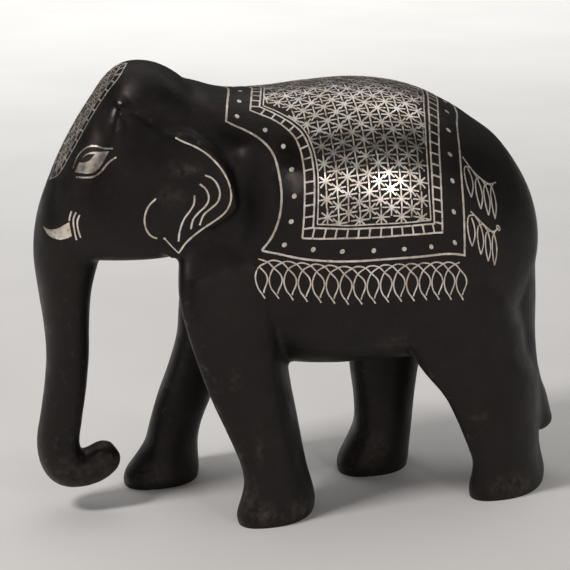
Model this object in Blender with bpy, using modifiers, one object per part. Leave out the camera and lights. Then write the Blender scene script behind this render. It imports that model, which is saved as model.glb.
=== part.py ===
"""A walking elephant, cast in one piece in black zinc alloy, its trunk hanging to a curled tip."""

import math

import bmesh
import bpy
import numpy as np
from mathutils import Matrix, Vector

# The driving dimension, in metres: from the soles to the crown
HEIGHT = 0.1235

# The tables below are shares of the height, counted in units of which it has this many
UNITS_TALL = 123.5
UNIT = HEIGHT / UNITS_TALL

# Fineness of the work, in units except for the counts
RING_POINTS = 40
RINGS_PER_SPAN = 4
VOXEL = 0.8
SOFTENING_PASSES = 8
SOFTENING_SHARE = 0.5
TRIANGLES = 9200

# The elephant faces -X and its left side is -Y. The sole plane is z 0.
# Squareness 2 is an ellipse, and more is nearer a rounded box.

# x, top z, bottom z, half width, squareness of the back and of the belly
TORSO = (
    (-43, 112, 82, 13, 2.0, 2.2),
    (-36, 118.2, 76.5, 19, 2.2, 2.4),
    (-28, 117.8, 67, 22.2, 2.4, 2.6),
    (-19, 115.3, 51, 23.6, 2.4, 2.8),
    (-8, 114.9, 41.4, 27.3, 2.3, 3.0),
    (6, 115.9, 39.2, 29.9, 2.3, 3.2),
    (20, 116.2, 39.2, 31, 2.3, 3.2),
    (34, 113.7, 39.2, 30.2, 2.3, 3.2),
    (45, 108.4, 39.7, 28.2, 2.2, 3.0),
    (51, 104.4, 41, 26.6, 2.2, 2.9),
    (58, 99, 43.2, 23.6, 2.2, 2.8),
    (65, 89.2, 54, 17.8, 2.1, 2.2),
    (68.6, 80.2, 60, 11, 2.0, 2.2),
    (70, 74, 66, 5, 2.0, 2.0),
)

# z, front x, rear x, half width, squareness, how much wider behind than in front
HEAD = (
    (123.4, -43, -40, 2.8, 2.0, 0.0),
    (122.4, -46.8, -36, 8.2, 2.0, 0.0),
    (119.4, -50.3, -31, 12.4, 2.4, 0.0),
    (114, -54, -26, 15.4, 3.0, 0.05),
    (107, -58.4, -22, 17.6, 3.5, 0.12),
    (99, -62.8, -22, 18.8, 3.8, 0.2),
    (91, -66.4, -22, 19.6, 3.4, 0.22),
    (83, -68, -24, 19.2, 2.8, 0.2),
    (77, -67.9, -27, 17.4, 2.5, 0.2),
    (73.8, -66.4, -29, 14.8, 2.3, 0.2),
    (72.4, -64, -31, 12.4, 2.2, 0.2),
)

# x, z, half depth, half width: the trunk's middle line, from inside the head to the tip
TRUNK = (
    (-57.5, 90, 9.5, 12.5),
    (-60.8, 81, 9.4, 12),
    (-62.6, 72, 8.7, 10.5),
    (-63.2, 63, 7.1, 9),
    (-63, 54, 6.1, 8),
    (-62.9, 45, 5.7, 7.4),
    (-63.7, 36, 5.6, 7.2),
    (-65.1, 27, 5.6, 7.0),
    (-66.2, 19, 5.8, 6.8),
    (-64.3, 13.1, 5.9, 6.6),
    (-59.8, 11.5, 4.9, 6.2),
    (-55.6, 12.7, 4.9, 5.8),
    (-52.2, 15, 4.3, 5.2),
    (-50.2, 16.4, 2.4, 2.8),
)

# z, front x, rear x, middle y, half width, squareness
LEFT_FORE_LEG = (
    (90, -28, -8, -8, 8, 2.2),
    (78, -32.8, -6.5, -11.4, 11.2, 2.6),
    (66, -34.2, -6, -13.8, 12, 3.6),
    (56, -32.4, -6.2, -15, 12, 4.2),
    (46, -29.5, -6.8, -15.8, 11.7, 4.2),
    (36, -26.2, -5.8, -16.6, 11.1, 4.0),
    (26, -22.2, -3.9, -17.4, 10.6, 3.5),
    (17, -18.9, -2.2, -18, 10.4, 2.9),
    (11, -18.1, -0.9, -18.4, 10.6, 2.6),
    (6, -19.2, 0.6, -18.6, 11.2, 2.5),
    (2, -20.4, 1.4, -18.6, 11.4, 2.4),
    (-2.4, -19.2, 0.6, -18.6, 10.4, 2.4),
)
RIGHT_FORE_LEG = (
    (90, -26, -10, 8, 8, 2.2),
    (78, -27, -9, 11.4, 11.2, 2.6),
    (66, -27, -9.4, 13.8, 12.2, 3.0),
    (54, -28.2, -10.6, 15, 12, 3.2),
    (44, -28.8, -13.2, 15.8, 11, 3.3),
    (34, -31.3, -15.8, 16.8, 10.2, 3.2),
    (25, -34.5, -18.2, 17.4, 9.6, 3.0),
    (17, -36.8, -21.3, 17.8, 9.4, 2.8),
    (11, -38.4, -22.6, 18, 9.7, 2.6),
    (6, -41.8, -22.7, 18, 10.2, 2.5),
    (2, -44.6, -22.4, 18, 10.6, 2.4),
    (-2.4, -43.6, -23, 18, 9.8, 2.4),
)
LEFT_HIND_LEG = (
    (88, 30, 52, -9, 11, 2.2),
    (76, 27, 57, -13, 13.5, 2.6),
    (62, 25.8, 60.8, -14.4, 14, 3.6),
    (50, 28.9, 63, -14.8, 13.3, 4.2),
    (40, 34, 64.6, -15.2, 12.6, 4.2),
    (31, 41, 67.6, -15.4, 11.8, 4.0),
    (23, 44.8, 68.8, -15.6, 11, 3.6),
    (15, 47.8, 68.2, -15.8, 10.6, 3.0),
    (10, 49.4, 68.5, -15.8, 10.6, 2.8),
    (5.5, 49, 69.6, -15.8, 11.1, 2.6),
    (2, 48.2, 70.4, -15.8, 11.6, 2.4),
    (-2.4, 49, 69.6, -15.8, 10.8, 2.4),
)
RIGHT_HIND_LEG = (
    (88, 34, 52, 9, 11, 2.2),
    (76, 30, 55, 12.6, 13.5, 2.6),
    (62, 26, 54, 13.4, 14, 3.0),
    (50, 21.8, 49.4, 13, 13.2, 3.2),
    (40, 20.6, 44.4, 12.6, 12, 3.2),
    (31, 21, 42.2, 12.2, 10.8, 3.0),
    (22, 22.2, 40.9, 12, 10, 2.9),
    (14, 22.4, 40.2, 12, 10, 2.8),
    (9, 20.6, 39.8, 12, 10.4, 2.6),
    (4.5, 18.2, 39.4, 12, 10.8, 2.5),
    (1.5, 17.2, 39.2, 12, 11, 2.4),
    (-2.4, 18.4, 38.2, 12, 10.4, 2.4),
)
# Each leg, and how far its sections slant back for each unit across to the right
LEGS = (
    (LEFT_FORE_LEG, 0.45),
    (LEFT_HIND_LEG, 0.6),
    (RIGHT_FORE_LEG, 0.3),
    (RIGHT_HIND_LEG, 0.3),
)

# z, front x, rear x, middle y, half width, squareness: low down it lies against the left hind leg
TAIL = (
    (84, 50, 65, -1, 12, 2.0),
    (76, 52, 68.4, -2, 14, 2.0),
    (66, 52, 69, -4, 15.5, 1.8),
    (54, 53, 70.4, -4.6, 12, 1.6),
    (42, 55, 70.4, -5.6, 10, 1.6),
    (31, 57.5, 71.4, -6.4, 9.6, 1.7),
    (24.6, 60, 73.8, -6, 8.6, 2.0),
    (18, 63, 76.4, -4, 7.2, 2.0),
    (14, 65.5, 78, -2.2, 6.0, 2.0),
    (11.6, 69, 75.8, -2, 4.0, 2.0),
)

# The ear's outline from the top of its root, round the rim, to its lower tip and up the cheek: x, z
EAR_OUTLINE = (
    (-40, 107.6),
    (-34, 107.8),
    (-29.2, 105.3),
    (-25.2, 101.2),
    (-22.2, 96.4),
    (-20.3, 91.5),
    (-19.8, 87.8),
    (-22, 85.6),
    (-27.2, 82.4),
    (-32.6, 78.6),
    (-37.8, 73.4),
    (-42.4, 79),
    (-47, 87),
    (-48, 97),
)
EAR_HINGE_X = -47
EAR_HINGE_Y = -16.7
EAR_TOP_Z = 108
EAR_FLARE = math.radians(22)
EAR_LEAN = math.radians(3)
EAR_THICKNESS = 8.5

# Swells and soft hollows of each side: middle, half sizes of the patch, and how far it moves at most.
# The middle's y is its distance from the midline, and outwards is more than 0.
SWELLS = (
    ("brow", (-51.6, 15, 112.5), (4.8, 9, 10), 2.2),
    ("behind_the_ear", (-18, 24, 90), (8, 16, 15), -2.6),
    ("neck_fold", (-22, 24, 79), (11, 12, 7), -1.1),
    ("under_the_ear", (-31, 21, 73.5), (8, 10, 5.5), -0.9),
)

# Ledges, below which the skin is cut back and then runs out again: middle of the edge, half its length,
# how far down it runs out, greatest depth, slope
LEDGES = (
    ("temple_ledge", (-43.4, 110.7), 11, 20, 2.8, math.radians(-33)),
)
LEDGE_SHARPNESS = 1.6
EDGE_SOFTENING_PASSES = 3


def through(rows, rings_per_span=RINGS_PER_SPAN):
    """The table's rows with more between them, on one smooth curve through them all."""
    rows = np.array(rows, float)
    ends = np.vstack([2 * rows[0] - rows[1], rows, 2 * rows[-1] - rows[-2]])
    made = []
    for a, b, c, d in zip(ends, ends[1:], ends[2:], ends[3:]):
        for step in range(rings_per_span):
            t = step / rings_per_span
            bend = (2 * a - 5 * b + 4 * c - d) * t**2 + (3 * b - a - 3 * c + d) * t**3
            made.append(b + ((c - a) * t + bend) / 2)
    made.append(rows[-1])
    return made


def rounded(cosine, squareness):
    return math.copysign(abs(cosine) ** (2 / squareness), cosine)


def ring_edges(
    bm, middle, tilt, half_depth, half_width, squareness, widening=0.0, fore_squareness=None, skew=0.0
):
    """Adds one section, whose depth runs along +X turned up by the tilt and whose width is along Y.

    Of its two halves along the depth, the one against the depth's direction may have a squareness of its own.
    """
    ring = bmesh.ops.create_circle(bm, segments=RING_POINTS, radius=1.0)["verts"]
    depth_axis = Vector((math.cos(tilt), 0, math.sin(tilt)))
    for vert in ring:
        power = fore_squareness if fore_squareness and vert.co.x < 0 else squareness
        depth = half_depth * rounded(vert.co.x, power)
        width = half_width * rounded(vert.co.y, power) * (1 + widening * depth / half_depth)
        vert.co = Vector(middle) + depth_axis * depth + Vector((skew * width, width, 0))
    return list({edge for vert in ring for edge in vert.link_edges})


def loft(bm, sections):
    """Skins the sections and closes both ends. It is one closed shell of its own in the mesh."""
    rings = [ring_edges(bm, *section) for section in sections]
    for ring, following in zip(rings, rings[1:]):
        bmesh.ops.bridge_loops(bm, edges=ring + following)
    for end in (rings[0], rings[-1]):
        bmesh.ops.edgeloop_fill(bm, edges=end)


def lengthwise_sections(rows):
    upright = math.pi / 2
    for x, top, bottom, half_width, back, belly in through(rows):
        yield (x, 0, (top + bottom) / 2), upright, (top - bottom) / 2, half_width, back, 0.0, belly


def level_sections(rows, on_midline=False):
    """Sections of a form that stands, each level. Only a limb off the midline has a middle y in its rows."""
    for z, front, rear, *shape in through(rows):
        y = 0.0 if on_midline else shape.pop(0)
        yield (((front + rear) / 2, y, z), 0.0, (rear - front) / 2, *shape)


def trunk_sections(rows):
    rows = through(rows)
    for i, (x, z, half_depth, half_width) in enumerate(rows):
        before, after = rows[max(i - 1, 0)], rows[min(i + 1, len(rows) - 1)]
        tilt = math.atan2(after[1] - before[1], after[0] - before[0]) + math.pi / 2
        yield (x, 0, z), tilt, half_depth, half_width, 2.2


def ear(bm):
    """A thick plate with the ear's outline, hinged at the cheek, whose rim flares away from the neck."""
    outline = [bm.verts.new((x, EAR_HINGE_Y, z)) for x, z in through(EAR_OUTLINE)]
    face = bm.faces.new(outline)
    walls = bmesh.ops.extrude_face_region(bm, geom=[face])["geom"]
    inner = [item for item in walls if isinstance(item, bmesh.types.BMVert)]
    bmesh.ops.translate(bm, verts=inner, vec=(0, EAR_THICKNESS, 0))
    hinge = (EAR_HINGE_X, EAR_HINGE_Y, EAR_TOP_Z)
    for turn in (Matrix.Rotation(EAR_LEAN, 3, "X"), Matrix.Rotation(-EAR_FLARE, 3, "Z")):
        bmesh.ops.rotate(bm, verts=outline + inner, cent=hinge, matrix=turn)
    return outline + inner


def forms():
    """All the figure's forms as closed shells that run into each other, in units."""
    bm = bmesh.new()
    loft(bm, lengthwise_sections(TORSO))
    loft(bm, level_sections(HEAD, on_midline=True))
    loft(bm, trunk_sections(TRUNK))
    for leg, skew in LEGS:
        loft(bm, [(*section, 0.0, None, skew) for section in level_sections(leg)])
    loft(bm, level_sections(TAIL))
    left_ear = ear(bm)
    faces = {face for vert in left_ear for face in vert.link_faces}
    bmesh.ops.mirror(bm, geom=left_ear + list(faces), axis="Y", merge_dist=0)
    bmesh.ops.recalc_face_normals(bm, faces=bm.faces)
    return bm


def evaluated_mesh(obj):
    """The object's mesh with its modifiers applied, and the object gone."""
    graph = bpy.context.evaluated_depsgraph_get()
    mesh = bpy.data.meshes.new_from_object(obj.evaluated_get(graph))
    bpy.data.objects.remove(obj)
    return mesh


def fused(bm):
    """One skin over all the forms, with their meetings softened into fillets."""
    mesh = bpy.data.meshes.new("forms")
    bm.to_mesh(mesh)
    obj = bpy.data.objects.new("forms", mesh)
    bpy.context.scene.collection.objects.link(obj)
    skin = obj.modifiers.new("one skin", "REMESH")
    skin.mode = "VOXEL"
    skin.voxel_size = VOXEL
    soften = obj.modifiers.new("fillets", "SMOOTH")
    soften.factor = SOFTENING_SHARE
    soften.iterations = SOFTENING_PASSES
    return evaluated_mesh(obj)


def swell(places, middle, half_sizes, outwards):
    reach = (((places - middle) / half_sizes) ** 2).sum(axis=1)
    places[:, 1] += outwards * np.clip(1 - reach, 0, None) ** 2


def cut_ledge(places, edge_middle, half_length, run_out, depth, slope):
    """Cuts the side back below a sloping edge, most deeply just below it."""
    x, y, z = (places - (edge_middle[0], 0, edge_middle[1])).T
    along = (x * math.cos(slope) + z * math.sin(slope)) / half_length
    below = x * math.sin(slope) - z * math.cos(slope)
    steep = np.clip(below / LEDGE_SHARPNESS, 0, 1)
    fades = (1 + np.cos(np.clip(below / run_out, 0, 1) * math.pi)) / 2 * np.clip(1 - along**2, 0, 1)
    places[:, 1] -= np.where(y > 0, depth * steep * fades, 0)


def work_surface(mesh):
    """Works the swells and ledges into both sides, each side in turn with outwards as +Y."""
    places = np.empty(len(mesh.vertices) * 3)
    mesh.vertices.foreach_get("co", places)
    places = places.reshape(-1, 3)
    for side in (-1, 1):
        places[:, 1] *= side
        for _, *tool in SWELLS:
            swell(places, *tool)
        for _, *ledge in LEDGES:
            cut_ledge(places, *ledge)
        places[:, 1] *= side
    mesh.vertices.foreach_set("co", places.ravel())


def softened_and_cut(mesh):
    """The skin with its worked edges softened, cut off at the sole plane and open there."""
    obj = bpy.data.objects.new("skin", mesh)
    bpy.context.scene.collection.objects.link(obj)
    soften = obj.modifiers.new("soft edges", "SMOOTH")
    soften.factor = SOFTENING_SHARE
    soften.iterations = EDGE_SOFTENING_PASSES
    bm = bmesh.new()
    bm.from_mesh(evaluated_mesh(obj))
    everything = bm.verts[:] + bm.edges[:] + bm.faces[:]
    bmesh.ops.bisect_plane(bm, geom=everything, plane_co=(0, 0, 0), plane_no=(0, 0, 1), clear_inner=True)
    return bm


def thinned(bm):
    """The skin in fewer triangles, close together only where it bends. The soles' rims stay as they are."""
    mesh = bpy.data.meshes.new("skin")
    bm.to_mesh(mesh)
    obj = bpy.data.objects.new("skin", mesh)
    bpy.context.scene.collection.objects.link(obj)
    bm.verts.index_update()
    above = obj.vertex_groups.new(name="above the rims")
    above.add([vert.index for vert in bm.verts if not vert.is_boundary], 1.0, "REPLACE")
    fewer = obj.modifiers.new("fewer triangles", "DECIMATE")
    fewer.vertex_group = above.name
    fewer.ratio = TRIANGLES / (2 * len(mesh.polygons))
    bm.clear()
    bm.from_mesh(evaluated_mesh(obj))
    return bm


def stood(bm):
    """Closes the soles flat, puts the middle of the base at the origin and turns units into metres."""
    bmesh.ops.edgeloop_fill(bm, edges=[edge for edge in bm.edges if edge.is_boundary])
    bmesh.ops.triangulate(bm, faces=bm.faces)
    bmesh.ops.recalc_face_normals(bm, faces=bm.faces)
    xs = [vert.co.x for vert in bm.verts]
    ys = [vert.co.y for vert in bm.verts]
    middle = Vector(((min(xs) + max(xs)) / 2, (min(ys) + max(ys)) / 2, 0))
    bmesh.ops.translate(bm, verts=bm.verts, vec=-middle)
    bmesh.ops.scale(bm, verts=bm.verts, vec=(UNIT, UNIT, UNIT))
    mesh = bpy.data.meshes.new("elephant_casting")
    bm.to_mesh(mesh)
    bm.free()
    return mesh


def blackened_alloy():
    """Zinc alloy blackened with earth and polished with oil: black, with a soft low gloss."""
    material = bpy.data.materials.new("blackened_zinc_alloy")
    material.use_nodes = True
    shader = material.node_tree.nodes["Principled BSDF"]
    shader.inputs["Base Color"].default_value = (0.011, 0.010, 0.009, 1)
    shader.inputs["Roughness"].default_value = 0.42
    shader.inputs["Metallic"].default_value = 0.0
    return material


def main():
    for obj in list(bpy.data.objects):
        bpy.data.objects.remove(obj)
    skin = fused(forms())
    work_surface(skin)
    mesh = stood(thinned(softened_and_cut(skin)))
    mesh.shade_smooth()
    mesh.materials.append(blackened_alloy())
    collection = bpy.data.collections.new("Bidri elephant")
    bpy.context.scene.collection.children.link(collection)
    collection.objects.link(bpy.data.objects.new("elephant_casting", mesh))


main()
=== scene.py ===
"""A bidri elephant: one casting in black zinc alloy, dressed in flush silver wire and sheet."""

import math
import random

import bmesh
import bpy
import numpy as np
from mathutils import Matrix, Vector
from mathutils.bvhtree import BVHTree


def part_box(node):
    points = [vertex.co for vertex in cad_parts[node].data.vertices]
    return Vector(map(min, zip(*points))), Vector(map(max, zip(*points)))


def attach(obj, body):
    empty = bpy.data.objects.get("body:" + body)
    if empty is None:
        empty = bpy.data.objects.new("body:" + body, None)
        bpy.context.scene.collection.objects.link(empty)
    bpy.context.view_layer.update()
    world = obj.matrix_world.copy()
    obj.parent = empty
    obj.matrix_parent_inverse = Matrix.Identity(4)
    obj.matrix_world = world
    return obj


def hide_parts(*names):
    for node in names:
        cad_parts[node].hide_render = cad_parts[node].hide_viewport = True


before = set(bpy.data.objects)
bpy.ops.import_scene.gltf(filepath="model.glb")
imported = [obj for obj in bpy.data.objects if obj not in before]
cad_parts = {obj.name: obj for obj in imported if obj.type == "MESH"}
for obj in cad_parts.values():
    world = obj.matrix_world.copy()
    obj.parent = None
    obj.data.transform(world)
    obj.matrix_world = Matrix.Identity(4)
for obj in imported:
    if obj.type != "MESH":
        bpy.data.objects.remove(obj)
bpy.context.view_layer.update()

# Everything is worked out in millimetres and made metres at the end
MM = 0.001

# The casting's forms are shares of its height, counted in units of which it has this many
HEIGHT = 0.1235
UNITS_TALL = 123.5
UNIT = HEIGHT / UNITS_TALL

# Fineness of the skin, in units except for the counts
RING_POINTS = 40
RINGS_PER_SPAN = 4
VOXEL = 0.8
SOFTENING_PASSES = 8
SOFTENING_SHARE = 0.5
EDGE_SOFTENING_PASSES = 3

# The elephant faces -X and its left side is -Y. The sole plane is z 0.
# Squareness 2 is an ellipse, and more is nearer a rounded box.

# x, top z, bottom z, half width, squareness of the back and of the belly
TORSO = (
    (-43, 112, 82, 13, 2.0, 2.2),
    (-36, 118.2, 76.5, 19, 2.2, 2.4),
    (-28, 117.8, 67, 22.2, 2.4, 2.6),
    (-19, 115.3, 51, 23.6, 2.4, 2.8),
    (-8, 114.9, 41.4, 27.3, 2.3, 3.0),
    (6, 115.9, 39.2, 29.9, 2.3, 3.2),
    (20, 116.2, 39.2, 31, 2.3, 3.2),
    (34, 113.7, 39.2, 30.2, 2.3, 3.2),
    (45, 108.4, 39.7, 28.2, 2.2, 3.0),
    (51, 104.4, 41, 26.6, 2.2, 2.9),
    (58, 99, 43.2, 23.6, 2.2, 2.8),
    (65, 89.2, 54, 17.8, 2.1, 2.2),
    (68.6, 80.2, 60, 11, 2.0, 2.2),
    (70, 74, 66, 5, 2.0, 2.0),
)

# z, front x, rear x, half width, squareness, how much wider behind than in front
HEAD = (
    (123.4, -43, -40, 2.8, 2.0, 0.0),
    (122.4, -46.8, -36, 8.2, 2.0, 0.0),
    (119.4, -50.3, -31, 12.4, 2.4, 0.0),
    (114, -54, -26, 15.4, 3.0, 0.05),
    (107, -58.4, -22, 17.6, 3.5, 0.12),
    (99, -62.8, -22, 18.8, 3.8, 0.2),
    (91, -66.4, -22, 19.6, 3.4, 0.22),
    (83, -68, -24, 19.2, 2.8, 0.2),
    (77, -67.9, -27, 17.4, 2.5, 0.2),
    (73.8, -66.4, -29, 14.8, 2.3, 0.2),
    (72.4, -64, -31, 12.4, 2.2, 0.2),
)

# x, z, half depth, half width: the trunk's middle line, from inside the head to the tip
TRUNK = (
    (-57.5, 90, 9.5, 12.5),
    (-60.8, 81, 9.4, 12),
    (-62.6, 72, 8.7, 10.5),
    (-63.2, 63, 7.1, 9),
    (-63, 54, 6.1, 8),
    (-62.9, 45, 5.7, 7.4),
    (-63.7, 36, 5.6, 7.2),
    (-65.1, 27, 5.6, 7.0),
    (-66.2, 19, 5.8, 6.8),
    (-64.3, 13.1, 5.9, 6.6),
    (-59.8, 11.5, 4.9, 6.2),
    (-55.6, 12.7, 4.9, 5.8),
    (-52.2, 15, 4.3, 5.2),
    (-50.2, 16.4, 2.4, 2.8),
)

# z, front x, rear x, middle y, half width, squareness
LEFT_FORE_LEG = (
    (90, -28, -8, -8, 8, 2.2),
    (78, -32.8, -6.5, -11.4, 11.2, 2.6),
    (66, -34.2, -6, -13.8, 12, 3.6),
    (56, -32.4, -6.2, -15, 12, 4.2),
    (46, -29.5, -6.8, -15.8, 11.7, 4.2),
    (36, -26.2, -5.8, -16.6, 11.1, 4.0),
    (26, -22.2, -3.9, -17.4, 10.6, 3.5),
    (17, -18.9, -2.2, -18, 10.4, 2.9),
    (11, -18.1, -0.9, -18.4, 10.6, 2.6),
    (6, -19.2, 0.6, -18.6, 11.2, 2.5),
    (2, -20.4, 1.4, -18.6, 11.4, 2.4),
    (-2.4, -19.2, 0.6, -18.6, 10.4, 2.4),
)
RIGHT_FORE_LEG = (
    (90, -26, -10, 8, 8, 2.2),
    (78, -27, -9, 11.4, 11.2, 2.6),
    (66, -27, -9.4, 13.8, 12.2, 3.0),
    (54, -28.2, -10.6, 15, 12, 3.2),
    (44, -28.8, -13.2, 15.8, 11, 3.3),
    (34, -31.3, -15.8, 16.8, 10.2, 3.2),
    (25, -34.5, -18.2, 17.4, 9.6, 3.0),
    (17, -36.8, -21.3, 17.8, 9.4, 2.8),
    (11, -38.4, -22.6, 18, 9.7, 2.6),
    (6, -41.8, -22.7, 18, 10.2, 2.5),
    (2, -44.6, -22.4, 18, 10.6, 2.4),
    (-2.4, -43.6, -23, 18, 9.8, 2.4),
)
LEFT_HIND_LEG = (
    (88, 30, 52, -9, 11, 2.2),
    (76, 27, 57, -13, 13.5, 2.6),
    (62, 25.8, 60.8, -14.4, 14, 3.6),
    (50, 28.9, 63, -14.8, 13.3, 4.2),
    (40, 34, 64.6, -15.2, 12.6, 4.2),
    (31, 41, 67.6, -15.4, 11.8, 4.0),
    (23, 44.8, 68.8, -15.6, 11, 3.6),
    (15, 47.8, 68.2, -15.8, 10.6, 3.0),
    (10, 49.4, 68.5, -15.8, 10.6, 2.8),
    (5.5, 49, 69.6, -15.8, 11.1, 2.6),
    (2, 48.2, 70.4, -15.8, 11.6, 2.4),
    (-2.4, 49, 69.6, -15.8, 10.8, 2.4),
)
RIGHT_HIND_LEG = (
    (88, 34, 52, 9, 11, 2.2),
    (76, 30, 55, 12.6, 13.5, 2.6),
    (62, 26, 54, 13.4, 14, 3.0),
    (50, 21.8, 49.4, 13, 13.2, 3.2),
    (40, 20.6, 44.4, 12.6, 12, 3.2),
    (31, 21, 42.2, 12.2, 10.8, 3.0),
    (22, 22.2, 40.9, 12, 10, 2.9),
    (14, 22.4, 40.2, 12, 10, 2.8),
    (9, 20.6, 39.8, 12, 10.4, 2.6),
    (4.5, 18.2, 39.4, 12, 10.8, 2.5),
    (1.5, 17.2, 39.2, 12, 11, 2.4),
    (-2.4, 18.4, 38.2, 12, 10.4, 2.4),
)
# Each leg, and how far its sections slant back for each unit across to the right
LEGS = (
    (LEFT_FORE_LEG, 0.45),
    (LEFT_HIND_LEG, 0.6),
    (RIGHT_FORE_LEG, 0.3),
    (RIGHT_HIND_LEG, 0.3),
)

# z, front x, rear x, middle y, half width, squareness: low down it lies against the left hind leg
TAIL = (
    (84, 50, 65, -1, 12, 2.0),
    (76, 52, 68.4, -2, 14, 2.0),
    (66, 52, 69, -4, 15.5, 1.8),
    (54, 53, 70.4, -4.6, 12, 1.6),
    (42, 55, 70.4, -5.6, 10, 1.6),
    (31, 57.5, 71.4, -6.4, 9.6, 1.7),
    (24.6, 60, 73.8, -6, 8.6, 2.0),
    (18, 63, 76.4, -4, 7.2, 2.0),
    (14, 65.5, 78, -2.2, 6.0, 2.0),
    (11.6, 69, 75.8, -2, 4.0, 2.0),
)

# The ear's outline from the top of its root, round the rim, to its lower tip and up the cheek: x, z
EAR_OUTLINE = (
    (-40, 107.6),
    (-34, 107.8),
    (-29.2, 105.3),
    (-25.2, 101.2),
    (-22.2, 96.4),
    (-20.3, 91.5),
    (-19.8, 87.8),
    (-22, 85.6),
    (-27.2, 82.4),
    (-32.6, 78.6),
    (-37.8, 73.4),
    (-42.4, 79),
    (-47, 87),
    (-48, 97),
)
EAR_HINGE_X = -47
EAR_HINGE_Y = -16.7
EAR_TOP_Z = 108
EAR_FLARE = math.radians(22)
EAR_LEAN = math.radians(3)
EAR_THICKNESS = 8.5

# Swells and soft hollows of each side: middle, half sizes of the patch, and how far it moves at most.
# The middle's y is its distance from the midline, and outwards is more than 0.
SWELLS = (
    ("brow", (-51.6, 15, 112.5), (4.8, 9, 10), 2.2),
    ("behind_the_ear", (-18, 24, 90), (8, 16, 15), -2.6),
    ("neck_fold", (-22, 24, 79), (11, 12, 7), -1.1),
    ("under_the_ear", (-31, 21, 73.5), (8, 10, 5.5), -0.9),
)

# Ledges, below which the skin is cut back and then runs out again: middle of the edge, half its length,
# how far down it runs out, greatest depth, slope
LEDGES = (
    ("temple_ledge", (-43.4, 110.7), 11, 20, 2.8, math.radians(-33)),
)
LEDGE_SHARPNESS = 1.6

# Silver is beaten flush and then scraped level: it stands this little above the skin, in mm.
# What crosses another piece lies a hair over it, at one of a few heights, and a pupil over its eye.
PROUD = 0.035
CROSSING_RISE = 0.003
CROSSING_HEIGHTS = 4
PUPIL_RISE = 0.03
INLAY_DEPTH = 0.22
WIRE = 0.46
BORDER_WIRE = 0.56
FINE_WIRE = 0.34
FRINGE_WIRE = 0.38
WIRE_STEP = 0.45

# A beaten wire swells by this share of its width, and this many radians of the swelling pass in a mm
BEAT_SHARE = 0.09
BEAT_TURN = 1.9
BEAT_STARTS = (0, 6.3)

# Steps of a smooth curve for each span of its list, of a ladder's lines, and of a sheet along and over it
CURVE_STEPS = 8
LADDER_STEPS = 400
SHEET_STEPS = (14, 6)

# The saddle cloth, as x and the distance from the spine measured round the body, both in mm.
# Lines that cross the spine are given for the left side, from the spine down.
CLOTH_NECK = ((-20.6, 0), (-21.6, 5), (-23.8, 12.6), (-25.3, 18.6))
CLOTH_FRONT = ((-25.3, 18.6), (-20.4, 20.5), (-16.4, 23.8), (-14, 28), (-13.1, 33.3), (-12.8, 38.8),
               (-13.5, 44.2), (-15.3, 49), (-17.9, 52.5))
CLOTH_HEM = ((-17.9, 52.5), (-15.5, 53.5), (-8, 56.6), (-2, 58.6), (3.5, 59.9), (11, 60.8), (19, 60.7),
             (27, 59.2), (37.1, 55.6))
CLOTH_REAR = ((42.6, 0), (41, 10.6), (38.8, 17.8), (37.5, 25.7), (36.7, 35.2), (36.8, 45.2), (37.1, 55.6))

# The ladder border inside it, its inner line, and the fine line that frames the stars
LADDER_OUTER = (
    ((-14, 0), (-14.9, 4), (-17.9, 14.1)),
    ((-17.9, 14.1), (-12.3, 18.1), (-8.5, 22.9), (-7, 27.5), (-6.6, 33.3), (-6.9, 40), (-7.4, 46.7),
     (-7.8, 51.1)),
    ((-7.8, 51.1), (-2, 52.6), (4.6, 53.8), (11, 54.6), (16.4, 54.7), (24, 53.8), (30.3, 52.2)),
    ((37.8, 0), (36.4, 7.2), (33.4, 17.5), (31, 28.9), (30.2, 40.7), (30.3, 52.2)),
)
LADDER_INNER = (
    ((-11.4, 0), (-12.2, 3.4), (-15.1, 12.9)),
    ((-15.1, 12.9), (-10.6, 17), (-6.4, 22.2), (-4.6, 27.6), (-4.1, 33.8), (-4.4, 40.6), (-5, 49)),
    ((-5, 49), (-0.5, 50.2), (4.6, 51.3), (11, 52.1), (16.4, 52.3), (22, 51.7), (27.9, 50.4)),
    ((35.1, 0), (33.5, 7.6), (30.6, 18), (28.4, 29.4), (27.7, 41), (27.9, 50.4)),
)
FINE_LINE = (
    ((-10.5, 0), (-11.3, 3.3), (-14, 12.6)),
    ((-14, 12.6), (-9.6, 16.6), (-5.4, 21.9), (-3.7, 27.8), (-3.1, 34), (-3.4, 40.8), (-3.9, 48.3)),
    ((-3.9, 48.3), (0.3, 49.4), (4.6, 50.4), (11, 51.1), (16.4, 51.3), (21.6, 50.8), (26.9, 49.6)),
    ((33.8, 0), (32.2, 7.9), (29.2, 18.2), (27.2, 29.8), (26.6, 41.2), (26.9, 49.6)),
)
RUNG_PITCH = 3.1
LADDER_CORNERS = ((1.5, 1.6), (3, 2.4), (2.6, 2.4), (1.5, 2.4))

# Stars stand in columns, every second column half a step lower. Their arms come in these four lengths,
# and an arm that meets the line round the field is trimmed in small steps.
STAR_COLUMN_PITCH = 2.84
STAR_PITCH = 4.7
STAR_FIRST_COLUMN_X = -12.6
STAR_ROWS_A_SIDE = 12
STAR_ARMS = (2.45, 2.15, 2.4, 2.15)
STAR_VALLEY = 0.56
STAR_TIP_WIDTH = 0.39
STAR_ARM_COUNT = 8
STAR_LEAST_ARM = 0.3
STAR_TRIM = 0.1

# How unevenly the hand works: a star's drift in mm, its turn in radians, the share of an arm's length
# and a dot's stretch
STAR_DRIFT = (-0.1, 0.1)
STAR_TURN = (-0.06, 0.06)
STAR_ARM_SHARE = (0.93, 1.03)
DOT_STRETCH = (0.92, 1.1)

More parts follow.
